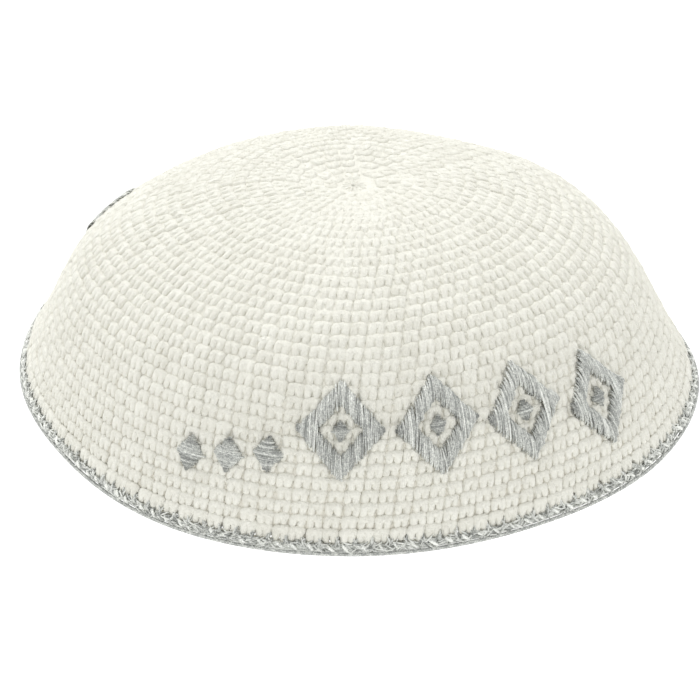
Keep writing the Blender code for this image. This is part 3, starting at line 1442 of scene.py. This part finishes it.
@dataclass
class SatinWork:
    """The rows of raised satin stitching."""

    rounds: Rounds
    material: bpy.types.Material
    pitch: float = 0.36 * MM
    ragged: float = 0.16 * MM
    past_edge: float = 0.1 * MM
    least_hole: float = 0.25 * MM
    gap: float = 1.9 * MM
    usual_length: float = 6.0 * MM
    thinnest: float = 0.6
    thick_at_nought: float = 0.55
    full_at: float = 5 * MM
    tone: float = 0.47
    # painted light: figures that stand lower get a lighter tone, to offset the shade that they
    # show when seen at a slant
    low_painted_light_tone: float = 0.95
    spread: Spread = Spread(lift=0.07 * MM, lean=0.04, tone=0.16)
    seed: int = 40
    thread_sides: int = 6
    thread: Path = (
        Bend(-500.0, 0.0, -0.20, 0.184),
        Bend(70.0, 0.0, 0.55, 0.23),
        Bend(180.0, 0.0, 0.33, 0.23),
        Bend(250.0, 0.0, 0.12, 0.23),
        Bend(250.0, 0.0, -0.12, 0.23),
        Bend(180.0, 0.0, -0.33, 0.23),
        Bend(70.0, 0.0, -0.55, 0.184),
    )
    sizes: dict[Figure, FigureSize] = field(
        default_factory=lambda: {
            Figure.DIAMOND: FigureSize(6.4 * MM, 7.6 * MM),
            Figure.LOZENGE: FigureSize(17.6 * MM, 21.6 * MM, 3.4 * MM, upright=True),
            Figure.CORE: FigureSize(3.6 * MM, 4.6 * MM),
        }
    )
    rows: tuple[FigureRow, ...] = (
        FigureRow(
            "front",
            math.radians(241.0),
            (
                Run(Figure.DIAMOND, (0.853, 0.833, 0.815)),
                Run(Figure.LOZENGE, (0.750, 0.754, 0.772, 0.815)),
            ),
            1.0,
        ),
        FigureRow(
            "back",
            math.radians(106.5),
            (Run(Figure.LOZENGE, (0.750, 0.745, 0.735, 0.690)),),
            0.6,
        ),
    )

    def satin_thread(self) -> Pattern:
        """Work a satin thread a metre long, which every stitch shortens to its own length.

        Returns:
            The thread, which dives into the cotton at both ends.
        """
        made = strand(self.thread_sides, self.thread)
        made.strands[:, 1] *= self.usual_length
        return made

    def stitches(self, size: FigureSize) -> Iterator[tuple[float, float, float]]:
        """Fill a figure with threads, one beside the other.

        Args:
            size: the figure's sizes.

        Yields:
            Place of each thread across the threads, and of its two ends along them.
        """
        side = math.hypot(size.width, size.height)
        shrink = 1 - 2 * size.band * side / (size.width * size.height)
        across, along = (size.width, size.height)
        if not size.upright:
            across, along = along, across
        count = int(across / self.pitch)
        for i in range(count):
            place = (i + 0.5 - count / 2) * self.pitch
            outer = along / 2 * (1 - abs(place) / (across / 2)) + self.past_edge
            inner = shrink * along / 2 * (1 - abs(place) / (shrink * across / 2))
            if size.band and inner > self.least_hole:
                yield place, -outer, -inner
                yield place, inner, outer
            else:
                yield place, -outer, outer

    def work(self, name: str, figure: Figure, way: float, bearing: float, rise: float) -> None:
        """Stitch one figure.

        Args:
            name: the figure's piece and node.
            figure: its shape.
            way: the way of its middle.
            bearing: the bearing of its middle.
            rise: how high it stands, as a share of the usual height.
        """
        dome = self.rounds.dome
        size = self.sizes[figure]
        own = len(name) + int(bearing * 1000)  # so that no two figures are stitched alike
        chance = np.random.default_rng(self.seed + own)
        place, first, last = np.array(list(self.stitches(size))).T
        n = len(place)
        first = first + chance.normal(0.0, self.ragged, n)
        last = last + chance.normal(0.0, self.ragged, n)
        middle, long = (first + last) / 2, last - first
        x, y = (place, middle) if size.upright else (middle, place)
        distance = way * dome.length + y
        turn = 1 / dome.reach(distance, np.full(n, bearing))
        # painted light: lower figures are mixed towards the lighter tone
        tone = rise * self.tone + (1 - rise) * self.low_painted_light_tone
        spots = Spots.even(distance, bearing + x * turn, turn, tone)
        thick = np.clip(self.thick_at_nought + long / self.full_at, self.thinnest, 1.0) * rise
        spots = replace(spots, thick=thick, **{"tall" if size.upright else "wide": long})
        thread = self.satin_thread()
        cloth = Cloth(dome)
        cloth.lay(
            thread.upright() if size.upright else thread, spots.loosened(self.spread, chance)
        )
        report(cloth.cut(f"{name}_satin", self.material), [name])

    def build(self) -> None:
        """Stitch every figure of every row."""
        dome = self.rounds.dome
        for row in self.rows:
            bearing, before = row.start, 0.0
            for run in row.runs:
                width = self.sizes[run.figure].width
                for number, way in enumerate(run.ways, 1):
                    if before:
                        reach = dome.reach(way * dome.length, bearing)
                        bearing += ((before + width) / 2 + self.gap) / float(reach)
                    place = (way, bearing, row.rise)
                    self.work(f"{row.name}_{run.figure.value}_{number}", run.figure, *place)
                    if run.figure is Figure.LOZENGE:
                        self.work(f"{row.name}_core_{number}", Figure.CORE, *place)
                    before = width


@dataclass
class Studio:
    """Floor, soft light and camera."""

    dome: Dome
    elevation: float = math.radians(31.9)
    distance: float = 385.0 * MM
    lens: float = 83.83
    sensor: float = 36.0
    aim_left: float = 0.76 * MM
    aim_above: float = 3.25 * MM
    floor_size: float = 12.0
    floor_cuts: int = 8
    sky: float = 0.97
    lamp_place: Vec = (-0.20, 0.60, 0.90)
    lamp_size: float = 0.6
    lamp_power: float = 5.7

    def floor(self) -> None:
        """Lay the plain white floor."""
        Bench.start()
        cuts = self.floor_cuts
        bpy.ops.mesh.primitive_grid_add(
            x_subdivisions=cuts, y_subdivisions=cuts, size=self.floor_size, location=ORIGIN
        )
        sheet = bpy.context.object
        sheet.name = "floor"
        sheet.data.materials.append(Paper().make())
        sheet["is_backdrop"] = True

    def world(self) -> None:
        """Give an even white surrounding."""
        world = bpy.data.worlds.new("white_room")
        world.use_nodes = True
        back = world.node_tree.nodes["Background"]
        back.inputs["Color"].default_value = WHITE
        back.inputs["Strength"].default_value = self.sky
        bpy.context.scene.world = world
        bpy.context.scene.view_settings.view_transform = "Standard"

    def lamp(self) -> None:
        """Hang a square lamp that looks at the cap."""
        data = bpy.data.lights.new("window", "AREA")
        data.energy = self.lamp_power
        data.size = self.lamp_size
        self.hang(bpy.data.objects.new("window", data), self.lamp_place, ORIGIN)

    def camera(self) -> None:
        """Set the camera at the photo's angle to the cap."""
        data = bpy.data.cameras.new("camera")
        data.lens = self.lens
        data.sensor_width = self.sensor
        camera = bpy.data.objects.new("camera", data)
        sine, cosine = math.sin(self.elevation), math.cos(self.elevation)
        axis = np.array([-self.dome.middle[0], -self.dome.middle[1], 0.0])
        place = axis + np.array([0.0, -self.distance * cosine, self.distance * sine])
        up = np.array([0.0, sine, cosine])
        target = axis + np.array([-self.aim_left, 0.0, 0.0]) + up * self.aim_above
        self.hang(camera, place, target)
        bpy.context.scene.camera = camera

    @staticmethod
    def hang(thing: bpy.types.Object, place: Vec | Array, target: Vec | Array) -> None:
        """Put a camera or a lamp in its place, with its top up.

        Args:
            thing: the camera or the lamp.
            place: where it goes.
            target: the point that it looks at.
        """
        x, y, z = (float(value) for value in np.subtract(target, place))
        thing.location = tuple(place)
        thing.rotation_euler = (math.atan2(math.hypot(x, y), -z), 0.0, math.atan2(-x, y))
        bpy.context.scene.collection.objects.link(thing)

    def build(self) -> None:
        """Set up all of it."""
        self.floor()
        self.world()
        self.lamp()
        self.camera()


def main() -> None:
    """Build the scene piece by piece."""
    logging.basicConfig(level=logging.INFO, format="%(name)s: %(message)s")
    dome = dome_of_frame()
    LOG.info("length %.5f, foot %.5f, middle %s", dome.length, dome.foot, dome.middle)
    Studio(dome).build()
    rounds = Rounds(dome)
    cotton = CottonYarn().make()
    silver = SilverThread().make()
    CottonCap(rounds, cotton).build()
    SilverEdging(rounds, silver).build()
    SatinWork(rounds, silver).build()
    boxes = {"cad": CAD_BOX, "visual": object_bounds()}
    plain = {name: [[float(v) for v in corner] for corner in box] for name, box in boxes.items()}


if __name__ == "__main__":
    main()
